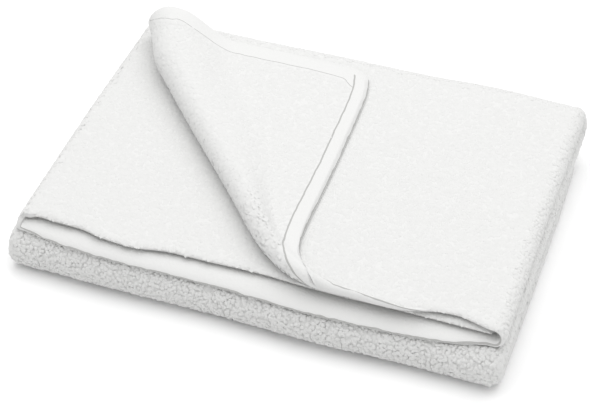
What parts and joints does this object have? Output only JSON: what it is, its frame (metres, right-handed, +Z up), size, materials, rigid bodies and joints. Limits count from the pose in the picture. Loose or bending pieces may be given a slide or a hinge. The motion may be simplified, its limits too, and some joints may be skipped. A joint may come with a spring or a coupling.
{
  "type": "folded hand towel",
  "caption": "Terry hand towel folded flat into a neat rectangle of layers, with one front corner of its top layer turned back.",
  "frame": {"origin": "centre of the bounding box at the surface the towel lies on", "axes": "+X along the long side of the folded towel, +Y from its front edge to its back edge, +Z up"},
  "size_m": [0.2456, 0.1784, 0.0502],
  "materials": {
    "towel": "white looped cotton pile"
  },
  "bodies": {
    "root": {"towel": "towel"}
  },
  "joints": []
}
